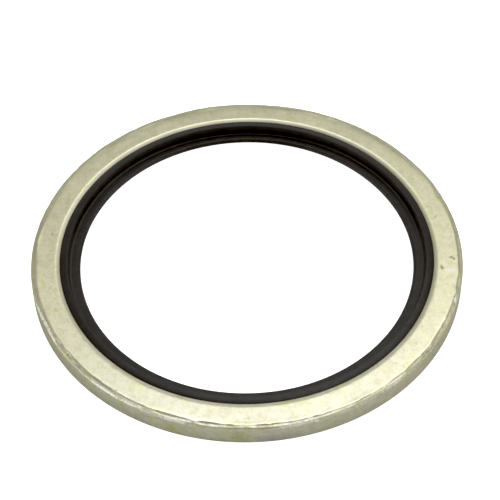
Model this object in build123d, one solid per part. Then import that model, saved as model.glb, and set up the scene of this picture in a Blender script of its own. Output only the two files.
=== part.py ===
from build123d import *
from math import radians, tan
import os

# Bonded sealing washer: a flat steel ring with a rubber seal moulded onto its bore.
# Millimetres. The origin is the centre of the bore, on the plane half way through the ring.

# Radial sizes, from the bore outwards
seal_bore_diameter = 28.7
web_reach = 0.88  # from the bore to the foot of the lip
lip_width = 0.80  # from the foot of the lip to the steel
ring_width = 2.47

# Steel ring: the punch rolls both edges of the upper face over, and those below are only broken
ring_thickness = 2.0
outer_edge_width = 0.23  # the steep facet at the rim
outer_edge_slope = 50.0  # degrees below the face
outer_roll_width = 0.23  # the gentle slope from there to the face
outer_roll_slope = 22.0
outer_roll_rounding = 0.9
inner_roll_width = 0.39  # the gentle slope from the bore to the face
inner_roll_slope = 12.0
inner_edge_rounding = 0.20
lower_outer_break = 0.25
lower_inner_break = 0.18

# Rubber seal
lip_height = 0.03  # how far each lip stands above the steel face
lip_crest_width = 0.34
lip_crest_slope = 4.0  # degrees that the crest falls towards the steel
lip_shoulder_rounding = 0.50
lip_draft = 9.5  # degrees that the lip's inner side leans
bond_depth = 0.30  # how far below the face the rubber starts
web_thickness = 0.50
nose_length = 0.10  # the drafted inner edge of the web
nose_land = 0.12  # the narrow wall left at the bore

# Radii and heights that follow from the sizes above
seal_bore_radius = seal_bore_diameter / 2
lip_foot_radius = seal_bore_radius + web_reach
ring_bore_radius = lip_foot_radius + lip_width  # the rubber is bonded to this wall
ring_outer_radius = ring_bore_radius + ring_width
face_height = ring_thickness / 2
lip_crest_height = face_height + lip_height
web_height = web_thickness / 2


def sloped(reach, height, width, slope):
    """Gives the point that lies width further out on a line that falls by slope degrees."""
    return reach + width, height - abs(width) * tan(radians(slope))


def turned(corners):
    """Turns a ring from its section.

    Each corner gives its distance from the axis, its height and the radius it is rounded to.
    """
    points = [(reach, height) for reach, height, rounding in corners]
    section = make_face(Polyline(*points, close=True))
    for reach, height, rounding in corners:
        if rounding > 0:
            corner = section.vertices().sort_by_distance((reach, height))[0]
            section = fillet(corner, rounding)
    return revolve(Plane.XZ * section, axis=Axis.Z)


def make_metal_ring():
    inner_roll = (ring_bore_radius + inner_roll_width, face_height)
    inner_edge = sloped(*inner_roll, -inner_roll_width, inner_roll_slope)
    outer_roll = (ring_outer_radius - outer_edge_width - outer_roll_width, face_height)
    outer_facet = sloped(*outer_roll, outer_roll_width, outer_roll_slope)
    outer_edge = sloped(*outer_facet, outer_edge_width, outer_edge_slope)
    return turned(
        [
            (*inner_edge, inner_edge_rounding),
            (*inner_roll, 0),
            (*outer_roll, outer_roll_rounding),
            (*outer_facet, 0),
            (*outer_edge, 0),
            (ring_outer_radius, lower_outer_break - face_height, 0),
            (ring_outer_radius - lower_outer_break, -face_height, 0),
            (ring_bore_radius + lower_inner_break, -face_height, 0),
            (ring_bore_radius, lower_inner_break - face_height, 0),
        ]
    )


def make_rubber_seal():
    lean = (lip_crest_height - web_height) * tan(radians(lip_draft))
    crest = (lip_foot_radius + lean, lip_crest_height)
    shoulder = sloped(*crest, lip_crest_width, lip_crest_slope)
    upper_half = [
        (seal_bore_radius, nose_land / 2, 0),
        (seal_bore_radius + nose_length, web_height, 0),
        (lip_foot_radius, web_height, 0),
        (*crest, 0),
        (*shoulder, lip_shoulder_rounding),
        (ring_bore_radius, face_height - bond_depth, 0),
    ]
    lower_half = [(reach, -height, rounding) for reach, height, rounding in upper_half[::-1]]
    return turned(upper_half + lower_half)


os.makedirs("parts", exist_ok=True)
export_step(make_metal_ring(), "parts/metal_ring.step")
export_step(make_rubber_seal(), "parts/rubber_seal.step")
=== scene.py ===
from math import cos, hypot, pi, radians, sin, tan, tau

import bmesh
import bpy
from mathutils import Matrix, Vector


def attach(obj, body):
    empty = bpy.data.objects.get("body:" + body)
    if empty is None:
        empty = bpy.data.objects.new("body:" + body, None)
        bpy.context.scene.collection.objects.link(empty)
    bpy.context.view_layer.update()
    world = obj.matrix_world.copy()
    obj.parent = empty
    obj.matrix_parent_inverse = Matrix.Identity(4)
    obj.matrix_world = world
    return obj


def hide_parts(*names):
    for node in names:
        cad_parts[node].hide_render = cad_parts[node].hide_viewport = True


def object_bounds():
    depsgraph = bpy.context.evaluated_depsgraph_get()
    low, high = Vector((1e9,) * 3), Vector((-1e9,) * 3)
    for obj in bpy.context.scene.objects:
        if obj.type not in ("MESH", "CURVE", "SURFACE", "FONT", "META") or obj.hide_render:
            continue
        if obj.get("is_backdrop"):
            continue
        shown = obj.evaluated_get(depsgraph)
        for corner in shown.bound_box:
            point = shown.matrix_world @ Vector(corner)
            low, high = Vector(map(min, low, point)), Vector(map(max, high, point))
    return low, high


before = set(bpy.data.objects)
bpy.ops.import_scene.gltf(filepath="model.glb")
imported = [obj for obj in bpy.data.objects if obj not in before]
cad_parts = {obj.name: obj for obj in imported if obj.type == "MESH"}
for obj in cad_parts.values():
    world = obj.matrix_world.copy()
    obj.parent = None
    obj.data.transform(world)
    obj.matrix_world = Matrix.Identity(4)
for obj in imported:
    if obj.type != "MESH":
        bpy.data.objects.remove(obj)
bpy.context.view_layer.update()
print("frame loaded:", ", ".join(sorted(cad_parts)))

mm = 0.001  # sizes are in millimetres and are brought to metres where they are used


def onRing(azimuth, reach, height):
    # azimuth 0 is to the right, 90 is behind and 270 is towards the camera
    side = radians(azimuth)
    return Vector((reach * cos(side), reach * sin(side), height)) * mm


cameraSetup = {
    "place": (0.0, -97.855, 112.034),
    "turn": (41.455, 0.683, -0.944),  # degrees about x, y and z
    "lens": 124.3,
    "sensor": 36.0,
    "near": 5.0,
    "far": 20000.0,
}


def placeCamera(setup):
    eye = bpy.data.cameras.new("camera")
    eye.lens = setup["lens"]
    eye.sensor_width = setup["sensor"]
    eye.clip_start = setup["near"] * mm
    eye.clip_end = setup["far"] * mm
    stand = bpy.data.objects.new("camera", eye)
    stand.location = [value * mm for value in setup["place"]]
    stand.rotation_euler = [radians(value) for value in setup["turn"]]
    bpy.context.collection.objects.link(stand)
    bpy.context.scene.camera = stand


placeCamera(cameraSetup)
print("camera placed")


def addNode(tree, kind, **settings):
    made = tree.nodes.new(kind)
    for key, value in settings.items():
        setattr(made, key, value)
    return made


def feed(tree, node, values):
    # a value is either a plain setting or the output socket that drives the input
    for key, value in values.items():
        if isinstance(value, bpy.types.NodeSocket):
            tree.links.new(value, node.inputs[key])
        else:
            node.inputs[key].default_value = value


def calc(tree, operation, first, second=0.0):
    made = addNode(tree, "ShaderNodeMath", operation=operation)
    feed(tree, made, {0: first, 1: second})
    return made.outputs[0]


def spread(tree, value, low, high, toLow=0.0, toHigh=1.0):
    made = addNode(tree, "ShaderNodeMapRange", interpolation_type="SMOOTHSTEP")
    feed(tree, made, {"Value": value, "From Min": low, "From Max": high})
    feed(tree, made, {"To Min": toLow, "To Max": toHigh})
    return made.outputs["Result"]


def blendColour(tree, share, first, second):
    # the mix node has one set of sockets for each kind of data; 6, 7 and 2 are the colour ones
    made = addNode(tree, "ShaderNodeMix", data_type="RGBA")
    feed(tree, made, {0: share, 6: first, 7: second})
    return made.outputs[2]


def tint(tree, colour, mask, share, tone):
    return blendColour(tree, calc(tree, "MULTIPLY", mask, share), colour, tone)


def cloudNoise(tree, where, scale, detail):
    made = addNode(tree, "ShaderNodeTexNoise")
    feed(tree, made, {"Vector": where, "Scale": scale, "Detail": detail})
    return made.outputs[0]


def reachOf(tree, place):
    # distance from the axis, with the height left out
    level = addNode(tree, "ShaderNodeVectorMath", operation="MULTIPLY")
    feed(tree, level, {0: place, 1: (1.0, 1.0, 0.0)})
    length = addNode(tree, "ShaderNodeVectorMath", operation="LENGTH")
    feed(tree, length, {0: level.outputs[0]})
    return length.outputs["Value"]


def depthOf(tree, place):
    # distance behind the axis; less than nothing in front of it
    split = addNode(tree, "ShaderNodeSeparateXYZ")
    feed(tree, split, {0: place})
    return split.outputs["Y"]


def offCircle(tree, reach, radius):
    return calc(tree, "ABSOLUTE", calc(tree, "SUBTRACT", reach, radius * mm))


def startGroup(name, inputs, outputs):
    group = bpy.data.node_groups.new(name, "ShaderNodeTree")
    for label, kind in inputs:
        group.interface.new_socket(label, in_out="INPUT", socket_type=kind)
    for label, kind in outputs:
        group.interface.new_socket(label, in_out="OUTPUT", socket_type=kind)
    return group, addNode(group, "NodeGroupInput"), addNode(group, "NodeGroupOutput")


def useGroup(tree, group, values):
    made = addNode(tree, "ShaderNodeGroup", node_tree=group)
    feed(tree, made, values)
    return made.outputs[0]


numberKind = "NodeSocketFloat"
vectorKind = "NodeSocketVector"
broadDetail = 2.0
plainDetail = 1.0

patchBlend = {"coarse": 0.6, "fine": 0.4}


def makePatches():
    # soft patches of two sizes, 0 to 1; a seed moves them so that two sets don't line up
    group, given, result = startGroup(
        "patches",
        [("Place", vectorKind), ("Seed", vectorKind), ("Coarse", numberKind), ("Fine", numberKind),
         ("Low", numberKind), ("High", numberKind)],
        [("Patch", numberKind)],
    )
    moved = addNode(group, "ShaderNodeVectorMath", operation="ADD")
    feed(group, moved, {0: given.outputs["Place"], 1: given.outputs["Seed"]})
    coarse = cloudNoise(group, moved.outputs[0], given.outputs["Coarse"], broadDetail)
    fine = cloudNoise(group, moved.outputs[0], given.outputs["Fine"], plainDetail)
    coarse = calc(group, "MULTIPLY", coarse, patchBlend["coarse"])
    fine = calc(group, "MULTIPLY", fine, patchBlend["fine"])
    both = calc(group, "ADD", coarse, fine)
    patch = spread(group, both, given.outputs["Low"], given.outputs["High"])
    group.links.new(patch, result.inputs["Patch"])
    return group


grainBlend = {"wideScale": 0.25, "wide": 0.6, "close": 0.4}


def makeGrain():
    # fine unevenness of the skin
    group, given, result = startGroup(
        "fineGrain", [("Place", vectorKind), ("Scale", numberKind)], [("Height", numberKind)])
    wideScale = calc(group, "MULTIPLY", given.outputs["Scale"], grainBlend["wideScale"])
    wide = cloudNoise(group, given.outputs["Place"], wideScale, broadDetail)
    close = cloudNoise(group, given.outputs["Place"], given.outputs["Scale"], plainDetail)
    wide = calc(group, "MULTIPLY", wide, grainBlend["wide"])
    close = calc(group, "MULTIPLY", close, grainBlend["close"])
    group.links.new(calc(group, "ADD", wide, close), result.inputs["Height"])
    return group


markBorder = {"frayScale": 5000.0, "frayMiddle": 0.5, "frayDepth": 2.4, "full": 0.6, "none": 1.1}


def makeMark():
    # one small mark on the skin, with a frayed border; its size is half its length and half its width
    group, given, result = startGroup(
        "mark",
        [("Place", vectorKind), ("Centre", vectorKind), ("Size", vectorKind), ("Turn", numberKind)],
        [("Mask", numberKind)],
    )
    moved = addNode(group, "ShaderNodeVectorMath", operation="SUBTRACT")
    feed(group, moved, {0: given.outputs["Place"], 1: given.outputs["Centre"]})
    turned = addNode(group, "ShaderNodeVectorRotate", rotation_type="Z_AXIS")
    feed(group, turned, {"Vector": moved.outputs[0], "Angle": given.outputs["Turn"]})
    scaled = addNode(group, "ShaderNodeVectorMath", operation="DIVIDE")
    feed(group, scaled, {0: turned.outputs[0], 1: given.outputs["Size"]})
    away = addNode(group, "ShaderNodeVectorMath", operation="LENGTH")
    feed(group, away, {0: scaled.outputs[0]})
    fray = cloudNoise(group, given.outputs["Place"], markBorder["frayScale"], broadDetail)
    fray = calc(group, "SUBTRACT", fray, markBorder["frayMiddle"])
    fray = calc(group, "MULTIPLY", fray, markBorder["frayDepth"])
    border = calc(group, "ADD", away.outputs["Value"], fray)
    mask = spread(group, border, markBorder["full"], markBorder["none"], 1.0, 0.0)
    group.links.new(mask, result.inputs["Mask"])
    return group


patches = makePatches()
fineGrain = makeGrain()
mark = makeMark()


def startMaterial(name):
    material = bpy.data.materials.new(name)
    material.use_nodes = True
    tree = material.node_tree
    tree.nodes.clear()
    shader = addNode(tree, "ShaderNodeBsdfPrincipled")
    output = addNode(tree, "ShaderNodeOutputMaterial")
    tree.links.new(shader.outputs[0], output.inputs[0])
    return material, tree, shader


def placeIn(tree):
    return addNode(tree, "ShaderNodeTexCoord").outputs["Object"]


def bumpFrom(tree, height, tone):
    bump = addNode(tree, "ShaderNodeBump")
    feed(tree, bump, {"Height": height, "Strength": tone["grainStrength"]})
    feed(tree, bump, {"Distance": tone["grainDepth"] * mm})
    return bump.outputs[0]


sectionSetup = {
    "samePoint": 1e-4,  # points nearer than this count as one, in millimetres
    "seamGap": 1e-4,  # points nearer than this are joined where the spin closes
    "broadRounding": 0.12,  # roundings over this size get more steps
    "broadSteps": 8,
    "smallSteps": 4,
}


def selectPoints(piece, test):
    # picks points by their place, given in millimetres
    points = bmesh.from_edit_mesh(piece.data)
    for point in points.verts:
        point.select = test(point.co / mm)
    points.select_flush_mode()
    bmesh.update_edit_mesh(piece.data)


def drawSection(name, corners):
    # draws a section point by point in the xz plane; a corner is its reach, height and rounding
    bpy.ops.object.select_all(action="DESELECT")
    bpy.ops.mesh.primitive_plane_add(size=mm, location=(0, 0, 0))
    piece = bpy.context.object
    piece.name = name
    piece.data.name = name
    bpy.ops.object.mode_set(mode="EDIT")
    bpy.context.tool_settings.mesh_select_mode = (True, False, False)
    bpy.ops.mesh.select_all(action="SELECT")
    bpy.ops.mesh.merge(type="CENTER")
    reach, height = 0.0, 0.0
    for number, (nextReach, nextHeight, rounding) in enumerate(corners):
        step = ((nextReach - reach) * mm, 0, (nextHeight - height) * mm)
        if number == 0:
            bpy.ops.transform.translate(value=step)
        else:
            bpy.ops.mesh.extrude_region_move(TRANSFORM_OT_translate={"value": step})
        reach, height = nextReach, nextHeight
    return piece


def closeSection(piece, corners):
    # joins the last point to the first, then rounds the corners that ask for it
    same = sectionSetup["samePoint"]
    ends = [Vector((reach, 0, height)) for reach, height, rounding in (corners[0], corners[-1])]
    selectPoints(piece, lambda spot: min((spot - end).length for end in ends) < same)
    bpy.ops.mesh.edge_face_add()
    for reach, height, rounding in corners:
        if rounding > 0:
            corner = Vector((reach, 0, height))
            selectPoints(piece, lambda spot: (spot - corner).length < same)
            broad = rounding > sectionSetup["broadRounding"]
            steps = sectionSetup["broadSteps" if broad else "smallSteps"]
            bpy.ops.mesh.bevel(offset=rounding * mm, segments=steps, affect="VERTICES")


def cutRun(piece, test, cuts):
    # divides a long straight run, so that it can carry small dents
    selectPoints(piece, test)
    bpy.ops.mesh.subdivide(number_cuts=cuts)


def turnRound(steps):
    # spins the section once round the axis and closes the seam
    bpy.ops.mesh.select_all(action="SELECT")
    bpy.ops.mesh.spin(steps=steps, angle=tau, center=(0, 0, 0), axis=(0, 0, 1), use_auto_merge=True)
    bpy.ops.mesh.select_all(action="SELECT")
    bpy.ops.mesh.remove_doubles(threshold=sectionSetup["seamGap"] * mm)
    bpy.ops.mesh.normals_make_consistent(inside=False)
    bpy.ops.object.mode_set(mode="OBJECT")


def roughen(piece, name, setup):
    # pushes one zone of the skin in and out by a soft noise; weights fade out towards its borders
    zone = piece.vertex_groups.new(name=name)
    for point in piece.data.vertices:
        spot = point.co / mm
        reach = hypot(spot.x, spot.y)
        within = min(reach - setup["fromReach"], setup["toReach"] - reach, spot.z - setup["fromHeight"])
        weight = min(1.0, within / setup["fade"])
        if weight > 0:
            zone.add([point.index], weight, "REPLACE")
    cloud = bpy.data.textures.new(name, "CLOUDS")
    cloud.noise_scale = setup["size"] * mm
    cloud.contrast = setup["contrast"]
    bpy.ops.object.modifier_add(type="DISPLACE")
    push = piece.modifiers[-1]
    push.texture = cloud
    push.texture_coords = "LOCAL"
    push.vertex_group = name
    push.mid_level = setup["level"]
    push.strength = setup["depth"] * mm
    bpy.ops.object.modifier_apply(modifier=push.name)
    piece.vertex_groups.clear()


def settleShading(piece, angle):
    # smooth shading that leaves the broad faces flat right up to their rounded corners
    bpy.ops.object.shade_smooth_by_angle(angle=radians(angle))
    bpy.ops.object.modifier_add(type="WEIGHTED_NORMAL")
    even = piece.modifiers[-1]
    even.keep_sharp = True
    bpy.ops.object.modifier_apply(modifier=even.name)


ringSetup = {
    "outerRadius": 18.5,
    "boreRadius": 16.01,
    "halfThickness": 1.0,
    "boreRuns": [  # from the bore outwards: the rolled inner edge, steeper at the bore
        {"width": 0.24, "slope": 20.0, "rounding": 0.05},
        {"width": 0.165, "slope": 9.0, "rounding": 0.09},
    ],
    "boreEasing": 0.06,
    "rimEasing": 0.08,
    "rimRuns": [  # from the face outwards: a groove, a small ridge and the steep edge
        {"width": 0.12, "slope": 31.0, "rounding": 0.05},
        {"width": 0.21, "slope": 14.0, "rounding": 0.07},
        {"width": 0.09, "slope": 67.0, "rounding": 0.08},
    ],
    "lowerOuter": 0.18,  # roundings of the hidden side
    "lowerInner": 0.25,
    "faceCuts": 9,
    "wallCuts": 5,
    "stepsRound": 900,
    "creaseAngle": 40.0,
}

ringUnevenness = {
    "edgeWander": {"fromReach": 17.95, "toReach": 18.52, "fromHeight": 0.45, "fade": 0.22,
                   "size": 3.0, "contrast": 1.0, "level": 0.5, "depth": 0.15},
    "edgeNicks": {"fromReach": 18.05, "toReach": 18.52, "fromHeight": 0.45, "fade": 0.12,
                  "size": 0.7, "contrast": 2.0, "level": 0.6, "depth": 0.05},
}


def runDrop(run):
    # how far a run falls over its width
    return run["width"] * tan(radians(run["slope"]))


def ringCorners(size):
    # the ring's section, from the bore over the face to the rim and back underneath
    top, bore, rim = size["halfThickness"], size["boreRadius"], size["outerRadius"]
    corners = []
    reach, height = bore, top - sum(runDrop(run) for run in size["boreRuns"])
    for run in size["boreRuns"]:
        corners.append((reach, height, run["rounding"]))
        reach += run["width"]
        height += runDrop(run)
    corners.append((reach, top, size["boreEasing"]))
    reach, height = rim - sum(run["width"] for run in size["rimRuns"]), top
    corners.append((reach, height, size["rimEasing"]))
    for run in size["rimRuns"]:
        reach += run["width"]
        height -= runDrop(run)
        corners.append((reach, height, run["rounding"]))
    return corners + [(rim, -top, size["lowerOuter"]), (bore, -top, size["lowerInner"])]


def makeRing(size, unevenness):
    corners = ringCorners(size)
    piece = drawSection("steelRing", corners)
    closeSection(piece, corners)
    same = sectionSetup["samePoint"]
    cutRun(piece, lambda spot: spot.z > size["halfThickness"] - same, size["faceCuts"])
    cutRun(piece, lambda spot: spot.x > size["outerRadius"] - same, size["wallCuts"])
    turnRound(size["stepsRound"])
    for name, setup in unevenness.items():
        roughen(piece, name, setup)
    settleShading(piece, size["creaseAngle"])
    return piece


zincSetup = {
    "patches": {
        "warm": {"Coarse": 260.0, "Fine": 900.0, "Low": 0.40, "High": 0.62},
        "green": {"Seed": (0.3, 0.1, 0.2), "Coarse": 900.0, "Fine": 2600.0, "Low": 0.50, "High": 0.66},
        "cool": {"Seed": (0.1, 0.4, 0.3), "Coarse": 500.0, "Fine": 1500.0, "Low": 0.50, "High": 0.70},
        "soil": {"Seed": (0.2, 0.2, 0.5), "Coarse": 1500.0, "Fine": 5500.0, "Low": 0.45, "High": 0.60},
        "frost": {"Seed": (0.6, 0.3, 0.1), "Coarse": 2000.0, "Fine": 6500.0, "Low": 0.46, "High": 0.60},
    },
    "straw": (0.66, 0.645, 0.43, 1.0),
    "beige": (0.67, 0.64, 0.455, 1.0),
    # painted sheen that pales the plating towards the front
    "frontSheen": (0.68, 0.67, 0.53, 1.0),
    "lime": (0.63, 0.67, 0.31, 1.0),
    "faceMiddle": 17.20,
    "limeFrom": (0.35, 0.85),  # the lime tint gathers towards the borders of the face
    "limeShare": (0.22, 0.50),
    "soil": (0.56, 0.54, 0.36, 1.0),
    "soilShare": 0.60,
    "frost": (0.75, 0.73, 0.60, 1.0),
    "frostShare": 0.45,
    "mauve": (0.62, 0.59, 0.50, 1.0),
    "mauveShare": 0.30,
    # worn colour of a thin line along the inner edge, partly real wear and partly a painted highlight
    "wornSheen": (0.76, 0.75, 0.60, 1.0),
    "frontSheenFrom": (-4.0, -17.0),  # painted sheen: the plating is paler towards the front
    # the worn line's reach and width; it also stands in as a painted highlight
    "wornSheenLine": {"reach": 16.40, "half": 0.06, "share": 0.35},
    "innerEdgeShade": (0.43, 0.42, 0.335, 1.0),  # painted shade on the inner edge, strongest at the back
    "rimShade": (0.43, 0.415, 0.29, 1.0),  # painted shade towards the rim, at the sides and back
    # painted shade at the bore, strongest at the back
    "boreShade": (0.27, 0.265, 0.20, 1.0),
    "frontToSide": (-17.0, -4.0),  # depths between which the edges' painted shade changes
    "sideToBack": (4.0, 15.0),
    "edgeShadeZones": [  # painted shade on the edges: reach of none, reach of full shade, and shares at front, sides and back
        {"none": 16.37, "full": 16.26, "shares": (0.05, 0.45, 1.00)},
        {"none": 17.20, "full": 18.06, "shares": (0.00, 0.00, 0.65)},
        {"none": 18.06, "full": 18.19, "shares": (0.00, 0.55, 0.75)},
        {"none": 16.30, "full": 16.01, "shares": (0.00, 0.10, 0.80)},
    ],
    "roughness": (0.29, 0.33),
    "innerRough": (16.28, 16.40),  # the rolled edges are duller than the face
    "outerRough": (18.06, 18.19),
    "edgeRoughness": 0.14,
    "grainScale": 6000.0,
    "grainStrength": 0.3,
    "grainDepth": 0.003,
    "markDepth": 0.25,  # a mark fades out this far below its centre, unless it says how deep it is
}

# a mark's azimuth, reach and height, then its half length along the ring, its half width across
# it, the lean of its length in degrees, its colour and how strongly it covers
zincMarks = [
    {"at": (351.8, 17.40, 1.0), "along": 0.24, "across": 0.60, "lean": 0.0,
     "tone": (0.76, 0.73, 0.68, 1.0), "share": 0.6},
    {"at": (356.4, 17.55, 1.0), "along": 0.15, "across": 0.30, "lean": -30.0,
     "tone": (0.22, 0.20, 0.10, 1.0), "share": 0.75},
    {"at": (352.6, 16.68, 1.0), "along": 0.27, "across": 0.15, "lean": 12.0,
     "tone": (0.25, 0.235, 0.05, 1.0), "share": 0.8},
    # painted highlight on the rim's ridge
    {"at": (341.7, 18.29, 0.88), "along": 0.25, "across": 0.14, "lean": 0.0,
     "tone": (0.95, 0.95, 0.92, 1.0), "share": 0.8},
    {"at": (12.6, 16.93, 1.0), "along": 0.10, "across": 0.22, "lean": 30.0,
     "tone": (0.34, 0.32, 0.20, 1.0), "share": 0.6},
    {"at": (171.5, 16.97, 1.0), "along": 0.16, "across": 0.10, "lean": 10.0,
     "tone": (0.30, 0.27, 0.20, 1.0), "share": 0.55},
    {"at": (189.7, 17.56, 1.0), "along": 0.55, "across": 0.16, "lean": 4.0,
     "tone": (0.60, 0.64, 0.24, 1.0), "share": 0.6},
    {"at": (239.5, 16.88, 1.0), "along": 0.30, "across": 0.14, "lean": -20.0,
     "tone": (0.65, 0.69, 0.30, 1.0), "share": 0.6},
    {"at": (238.0, 16.67, 1.0), "along": 0.42, "across": 0.13, "lean": 0.0,
     "tone": (0.65, 0.69, 0.30, 1.0), "share": 0.6},
    {"at": (285.0, 16.86, 1.0), "along": 0.16, "across": 0.16, "lean": 0.0,
     "tone": (0.60, 0.68, 0.24, 1.0), "share": 0.5},
    {"at": (288.0, 17.25, 1.0), "along": 0.14, "across": 0.22, "lean": 0.0,
     "tone": (0.60, 0.68, 0.24, 1.0), "share": 0.4},
    {"at": (233.5, 18.04, 0.97), "along": 0.22, "across": 0.12, "lean": 0.0,
     "tone": (0.38, 0.34, 0.20, 1.0), "share": 0.6},
    {"at": (200.5, 17.05, 1.0), "along": 0.30, "across": 0.20, "lean": 20.0,
     "tone": (0.48, 0.45, 0.28, 1.0), "share": 0.45},
    {"at": (216.0, 18.22, 0.90), "along": 0.14, "across": 0.12, "lean": 0.0,
     "tone": (0.24, 0.22, 0.18, 1.0), "share": 0.6},
    # the next eight marks, on the rim's ridge and groove, are painted highlights and painted shade that break
    # up the ridge's light
    {"at": (204.0, 18.31, 0.88), "along": 3.2, "across": 0.11, "lean": 0.0,
     "tone": (0.97, 0.95, 0.82, 1.0), "share": 0.85},
    {"at": (206.0, 18.50, 0.80), "along": 3.0, "across": 0.09, "lean": 0.0,
     "tone": (0.36, 0.34, 0.26, 1.0), "share": 0.6},
    {"at": (231.0, 18.40, 0.88), "along": 1.6, "across": 0.10, "lean": 0.0,
     "tone": (1.0, 0.98, 0.86, 1.0), "share": 0.85},
    {"at": (228.0, 18.17, 0.92), "along": 2.0, "across": 0.12, "lean": 0.0,
     "tone": (0.38, 0.36, 0.28, 1.0), "share": 0.55},
    {"at": (239.0, 18.40, 0.88), "along": 0.9, "across": 0.10, "lean": 0.0,
     "tone": (1.0, 0.98, 0.88, 1.0), "share": 0.7},
    {"at": (250.5, 18.42, 0.88), "along": 1.3, "across": 0.10, "lean": 0.0,
     "tone": (1.0, 0.98, 0.86, 1.0), "share": 0.7},
    {"at": (256.5, 18.12, 0.95), "along": 2.6, "across": 0.17, "lean": 0.0,
     "tone": (1.0, 0.98, 0.84, 1.0), "share": 0.4},
    {"at": (281.5, 18.40, 0.88), "along": 2.0, "across": 0.11, "lean": 0.0,
     "tone": (1.0, 0.98, 0.86, 1.0), "share": 0.8},
    {"at": (269.6, 17.52, 1.0), "along": 0.13, "across": 0.08, "lean": 0.0,
     "tone": (0.30, 0.28, 0.22, 1.0), "share": 0.5},
    {"at": (314.0, 17.12, 1.0), "along": 0.10, "across": 0.18, "lean": 20.0,
     "tone": (0.42, 0.42, 0.20, 1.0), "share": 0.5},
    {"at": (323.0, 17.19, 1.0), "along": 0.10, "across": 0.20, "lean": -15.0,
     "tone": (0.42, 0.42, 0.20, 1.0), "share": 0.45},
    {"at": (168.6, 18.12, 0.95), "along": 0.9, "across": 0.22, "lean": 0.0,
     "tone": (0.52, 0.44, 0.50, 1.0), "share": 0.5},
    # the next six marks are painted shade where the ridge's highlight breaks off
    {"at": (302.0, 18.30, 0.88), "along": 2.4, "across": 0.24, "lean": 0.0,
     "tone": (0.40, 0.38, 0.26, 1.0), "share": 0.6},
    {"at": (318.5, 18.33, 0.88), "along": 2.2, "across": 0.24, "lean": 0.0,
     "tone": (0.40, 0.38, 0.26, 1.0), "share": 0.75},
    {"at": (327.0, 18.30, 0.88), "along": 2.2, "across": 0.24, "lean": 0.0,
     "tone": (0.40, 0.38, 0.26, 1.0), "share": 0.6},
    {"at": (221.0, 18.30, 0.88), "along": 1.2, "across": 0.20, "lean": 0.0,
     "tone": (0.44, 0.42, 0.33, 1.0), "share": 0.5},
    {"at": (258.0, 18.30, 0.88), "along": 0.9, "across": 0.20, "lean": 0.0,
     "tone": (0.44, 0.42, 0.30, 1.0), "share": 0.45},
    {"at": (274.0, 18.30, 0.88), "along": 0.7, "across": 0.20, "lean": 0.0,
     "tone": (0.44, 0.42, 0.30, 1.0), "share": 0.45},
    {"at": (250.0, 18.50, -0.1), "along": 0.5, "across": 0.3, "lean": 0.0, "deep": 0.5,
     "tone": (0.52, 0.58, 0.18, 1.0), "share": 0.5},
    {"at": (267.5, 18.50, -0.1), "along": 0.8, "across": 0.3, "lean": 0.0, "deep": 0.7,
     "tone": (0.50, 0.54, 0.20, 1.0), "share": 0.5},
    {"at": (276.5, 18.50, -0.5), "along": 2.0, "across": 0.4, "lean": 0.0, "deep": 0.6,
     "tone": (0.50, 0.44, 0.46, 1.0), "share": 0.4},
]


def addMarks(tree, place, colour, marks, depth):
    for spot in marks:
        azimuth, reach, height = spot["at"]
        size = Vector((spot["across"], spot["along"], spot.get("deep", depth))) * mm
        turn = -radians(azimuth + spot["lean"])
        values = {"Place": place, "Centre": onRing(azimuth, reach, height), "Size": size, "Turn": turn}
        colour = tint(tree, colour, useGroup(tree, mark, values), spot["share"], spot["tone"])
    return colour


def edgeShare(tree, reach, depth, tone, zone):
    # how strongly an edge takes its painted shade or sheen: by its reach, and from the front over the sides
    # to the back
    front, side, back = zone["shares"]
    start, end = tone["frontToSide"]
    around = spread(tree, depth, start * mm, end * mm, front, side)
    start, end = tone["sideToBack"]
    around = calc(tree, "ADD", around, spread(tree, depth, start * mm, end * mm, 0.0, back - side))
    low, high = sorted((zone["none"], zone["full"]))
    ends = (0.0, 1.0) if zone["full"] == high else (1.0, 0.0)
    return calc(tree, "MULTIPLY", around, spread(tree, reach, low * mm, high * mm, *ends))


def zincColour(tree, place, patch, tone, marks):
    # the plating's own tints, a painted sheen towards the front, painted shade on the edges, a worn line that
    # is partly a painted highlight, then the single marks, some of them painted highlights and shade
    reach, depth = reachOf(tree, place), depthOf(tree, place)
    # painted sheen: paler towards the front
    start, end = tone["frontSheenFrom"]
    front = spread(tree, depth, end * mm, start * mm, 1.0, 0.0)
    colour = blendColour(tree, patch["warm"], tone["straw"], tone["beige"])
    colour = blendColour(tree, front, colour, tone["frontSheen"])
    colour = tint(tree, colour, patch["cool"], tone["mauveShare"], tone["mauve"])
    colour = tint(tree, colour, patch["soil"], tone["soilShare"], tone["soil"])
    colour = tint(tree, colour, patch["frost"], tone["frostShare"], tone["frost"])
    near, far = tone["limeFrom"]
    border = offCircle(tree, reach, tone["faceMiddle"])
    share = spread(tree, border, near * mm, far * mm, *tone["limeShare"])
    colour = tint(tree, colour, patch["green"], share, tone["lime"])
    # painted shade on the edges, stronger at the sides and back
    inner, face, rim, bore = [edgeShare(tree, reach, depth, tone, zone) for zone in tone["edgeShadeZones"]]
    colour = blendColour(tree, inner, colour, tone["innerEdgeShade"])
    colour = blendColour(tree, calc(tree, "MAXIMUM", face, rim), colour, tone["rimShade"])
    colour = blendColour(tree, bore, colour, tone["boreShade"])
    # a worn line along the inner edge, which also serves as a painted highlight
    line = tone["wornSheenLine"]
    offLine = offCircle(tree, reach, line["reach"])
    wornSheen = spread(tree, offLine, 0.0, line["half"] * mm, line["share"], 0.0)
    colour = blendColour(tree, wornSheen, colour, tone["wornSheen"])
    return addMarks(tree, place, colour, marks, tone["markDepth"])


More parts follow.
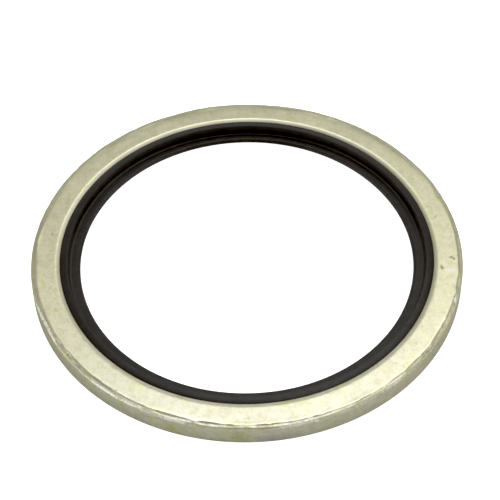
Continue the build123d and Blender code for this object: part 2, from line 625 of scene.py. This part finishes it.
def zincRoughness(tree, place, warm, tone):
    reach = reachOf(tree, place)
    start, end = tone["innerRough"]
    inner = spread(tree, reach, start * mm, end * mm, tone["edgeRoughness"], 0.0)
    start, end = tone["outerRough"]
    outer = spread(tree, reach, start * mm, end * mm, 0.0, tone["edgeRoughness"])
    face = spread(tree, warm, 0.0, 1.0, *tone["roughness"])
    return calc(tree, "ADD", face, calc(tree, "ADD", inner, outer))


def makeZinc(tone, marks):
    material, tree, shader = startMaterial("zincPlate")
    place = placeIn(tree)
    patch = {}
    for name, values in tone["patches"].items():
        patch[name] = useGroup(tree, patches, {"Place": place, **values})
    grain = useGroup(tree, fineGrain, {"Place": place, "Scale": tone["grainScale"]})
    feed(tree, shader, {"Base Color": zincColour(tree, place, patch, tone, marks), "Metallic": 1.0})
    feed(tree, shader, {"Roughness": zincRoughness(tree, place, patch["warm"], tone)})
    feed(tree, shader, {"Normal": bumpFrom(tree, grain, tone)})
    return material


ring = makeRing(ringSetup, ringUnevenness)
ring.data.materials.append(makeZinc(zincSetup, zincMarks))
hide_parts("metal_ring")
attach(ring, "root")
print("steel ring turned:", len(ring.data.polygons), "faces")

sealSetup = {
    "boreRadius": 14.31,
    "webReach": 0.92,
    "lipWidth": 0.80,
    "webOver": 0.26,  # the web's height over and under the middle plane, near its nose
    "webUnder": 0.14,
    "webRoot": 0.20,  # its half thickness at the foot of the lips
    "landHalf": 0.03,
    "noseLength": 0.16,
    "noseRounding": 0.08,
    "footRounding": 0.15,
    "lipTop": 1.03,
    "lipLean": 0.13,
    "lipRounding": 0.05,
    "crest": {"width": 0.27, "drop": 0.04, "rounding": 0.13},
    "shoulder": {"width": 0.52, "drop": 0.115, "rounding": 0.08},
    "bondHeight": 0.845,
    "stepsRound": 720,
    "creaseAngle": 35.0,
}


def halfSeal(size, web):
    # one half of the section, from the web's nose to the bond, for a web of the given height
    bore, top = size["boreRadius"], size["lipTop"]
    foot = bore + size["webReach"]
    crest, shoulder = size["crest"], size["shoulder"]
    edge = foot + size["lipLean"]
    return [
        (bore, size["landHalf"], size["noseRounding"]),
        (bore + size["noseLength"], web, size["noseRounding"]),
        (foot, size["webRoot"], size["footRounding"]),
        (edge, top, size["lipRounding"]),
        (edge + crest["width"], top - crest["drop"], crest["rounding"]),
        (edge + shoulder["width"], top - shoulder["drop"], shoulder["rounding"]),
        (foot + size["lipWidth"], size["bondHeight"], 0.0),
    ]


def sealCorners(size):
    # the lower half mirrors the upper one, but for a thinner web
    lower = halfSeal(size, size["webUnder"])[::-1]
    return halfSeal(size, size["webOver"]) + [(reach, -height, rounding) for reach, height, rounding in lower]


def makeSeal(size):
    corners = sealCorners(size)
    piece = drawSection("rubberSeal", corners)
    closeSection(piece, corners)
    turnRound(size["stepsRound"])
    settleShading(piece, size["creaseAngle"])
    return piece


rubberSetup = {
    "patches": {"Coarse": 350.0, "Fine": 1400.0, "Low": 0.42, "High": 0.62},
    "dark": (0.0250, 0.0208, 0.0166, 1.0),
    "dusty": (0.0315, 0.0266, 0.0216, 1.0),
    "footSheen": (0.055, 0.050, 0.043, 1.0),  # painted sheen where the web meets the lip, at the sides only
    "footReach": 15.20,
    "frontToSide": (-8.0, -2.0),
    "sideToBack": (1.0, 5.0),
    "footSheenZone": {"none": 0.22, "full": 0.05, "shares": (0.0, 0.7, 0.0)},
    "roughness": (0.35, 0.42),
    "roughnessFrom": (0.35, 0.65),  # the grain's heights between which the roughness changes
    "refraction": 1.45,
    "grainScale": 7000.0,
    "grainStrength": 0.3,
    "grainDepth": 0.002,
}


def makeRubber(tone):
    material, tree, shader = startMaterial("blackRubber")
    place = placeIn(tree)
    dust = useGroup(tree, patches, {"Place": place, **tone["patches"]})
    grain = useGroup(tree, fineGrain, {"Place": place, "Scale": tone["grainScale"]})
    # painted sheen at the foot of the lip, on the sides only
    offFoot = offCircle(tree, reachOf(tree, place), tone["footReach"])
    share = edgeShare(tree, offFoot, depthOf(tree, place), tone, tone["footSheenZone"])
    colour = blendColour(tree, dust, tone["dark"], tone["dusty"])
    roughness = spread(tree, grain, *tone["roughnessFrom"], *tone["roughness"])
    feed(tree, shader, {"Base Color": blendColour(tree, share, colour, tone["footSheen"])})
    feed(tree, shader, {"Roughness": roughness, "IOR": tone["refraction"]})
    feed(tree, shader, {"Normal": bumpFrom(tree, grain, tone)})
    return material


seal = makeSeal(sealSetup)
seal.data.materials.append(makeRubber(rubberSetup))
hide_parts("rubber_seal")
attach(seal, "root")
print("rubber seal turned:", len(seal.data.polygons), "faces")

studioSetup = {
    "floorSize": 6000.0,
    "white": (1.0, 1.0, 1.0, 1.0),
    "floorPale": (0.75, 0.75, 0.75, 1.0),
    "floorRoughness": 0.9,
    "floorGlow": 1.0,  # lifts the floor to plain white for the camera alone
    "skyGlow": 0.44,
    "shade": {"azimuth": 270.0, "elevation": 72.0, "full": 14.0, "edge": 31.0, "glow": 0.06},
    "blackLevel": 0.025,
}

softboxes = {
    "keyDisk": {"shape": "DISK", "azimuth": 62.0, "elevation": 74.5, "distance": 1400.0,
                "width": 1340.0, "height": 1340.0, "brightness": 1.85},
    "backBox": {"shape": "RECTANGLE", "azimuth": 90.0, "elevation": 15.0, "distance": 1400.0,
                "width": 1800.0, "height": 500.0, "brightness": 0.60},
    "leftBox": {"shape": "RECTANGLE", "azimuth": 192.0, "elevation": 13.0, "distance": 1400.0,
                "width": 2200.0, "height": 700.0, "brightness": 1.4},
    "rightBox": {"shape": "RECTANGLE", "azimuth": 348.0, "elevation": 13.0, "distance": 1400.0,
                 "width": 2200.0, "height": 700.0, "brightness": 1.4},
}


def makeFloor(setup):
    bpy.ops.object.select_all(action="DESELECT")
    bpy.ops.mesh.primitive_plane_add(size=setup["floorSize"] * mm, location=(0, 0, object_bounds()[0].z))
    floor = bpy.context.object
    floor.name = "floor"
    material, tree, shader = startMaterial("paleFloor")
    feed(tree, shader, {"Base Color": setup["floorPale"], "Roughness": setup["floorRoughness"]})
    seen = addNode(tree, "ShaderNodeLightPath").outputs["Is Camera Ray"]
    feed(tree, shader, {"Emission Color": setup["white"]})
    feed(tree, shader, {"Emission Strength": calc(tree, "MULTIPLY", seen, setup["floorGlow"])})
    floor.data.materials.append(material)
    floor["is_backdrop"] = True


def pointing(azimuth, elevation):
    # the direction from the part towards something that hangs around it
    side, up = radians(azimuth), radians(elevation)
    return Vector((cos(up) * cos(side), cos(up) * sin(side), sin(up)))


def makeSky(setup):
    # an even sky, white to the camera itself, with the dark shade that hangs above the camera
    world = bpy.data.worlds.new("studio")
    bpy.context.scene.world = world
    world.use_nodes = True
    tree = world.node_tree
    tree.nodes.clear()
    shade = setup["shade"]
    towards = addNode(tree, "ShaderNodeVectorMath", operation="DOT_PRODUCT")
    heading = addNode(tree, "ShaderNodeTexCoord").outputs["Generated"]
    feed(tree, towards, {0: heading, 1: pointing(shade["azimuth"], shade["elevation"])})
    outside, inside = cos(radians(shade["edge"])), cos(radians(shade["full"]))
    away = spread(tree, towards.outputs["Value"], outside, inside, setup["skyGlow"], shade["glow"])
    seen = addNode(tree, "ShaderNodeLightPath").outputs["Is Camera Ray"]
    glow = addNode(tree, "ShaderNodeBackground")
    feed(tree, glow, {"Color": setup["white"], "Strength": calc(tree, "MAXIMUM", away, seen)})
    output = addNode(tree, "ShaderNodeOutputWorld")
    tree.links.new(glow.outputs[0], output.inputs[0])


def hangSoftbox(name, box):
    lamp = bpy.data.lights.new(name, "AREA")
    lamp.shape = box["shape"]
    lamp.size = box["width"] * mm
    lamp.size_y = box["height"] * mm
    filled = pi / 4 if box["shape"] == "DISK" else 1.0  # share of its square that a disk covers
    lamp.energy = box["brightness"] * pi * lamp.size * lamp.size_y * filled
    stand = bpy.data.objects.new(name, lamp)
    bpy.context.collection.objects.link(stand)
    aim = pointing(box["azimuth"], box["elevation"])
    stand.location = aim * box["distance"] * mm
    stand.rotation_euler = aim.to_track_quat("Z", "Y").to_euler()


def setPicture(setup):
    # a plain tone curve whose black point is raised a little
    view = bpy.context.scene.view_settings
    view.view_transform = "Standard"
    view.use_curve_mapping = True
    level = setup["blackLevel"]
    view.curve_mapping.black_level = (level, level, level)
    view.curve_mapping.update()


makeFloor(studioSetup)
makeSky(studioSetup)
for softboxName, softbox in softboxes.items():
    hangSoftbox(softboxName, softbox)
setPicture(studioSetup)
print("floor and lights placed")
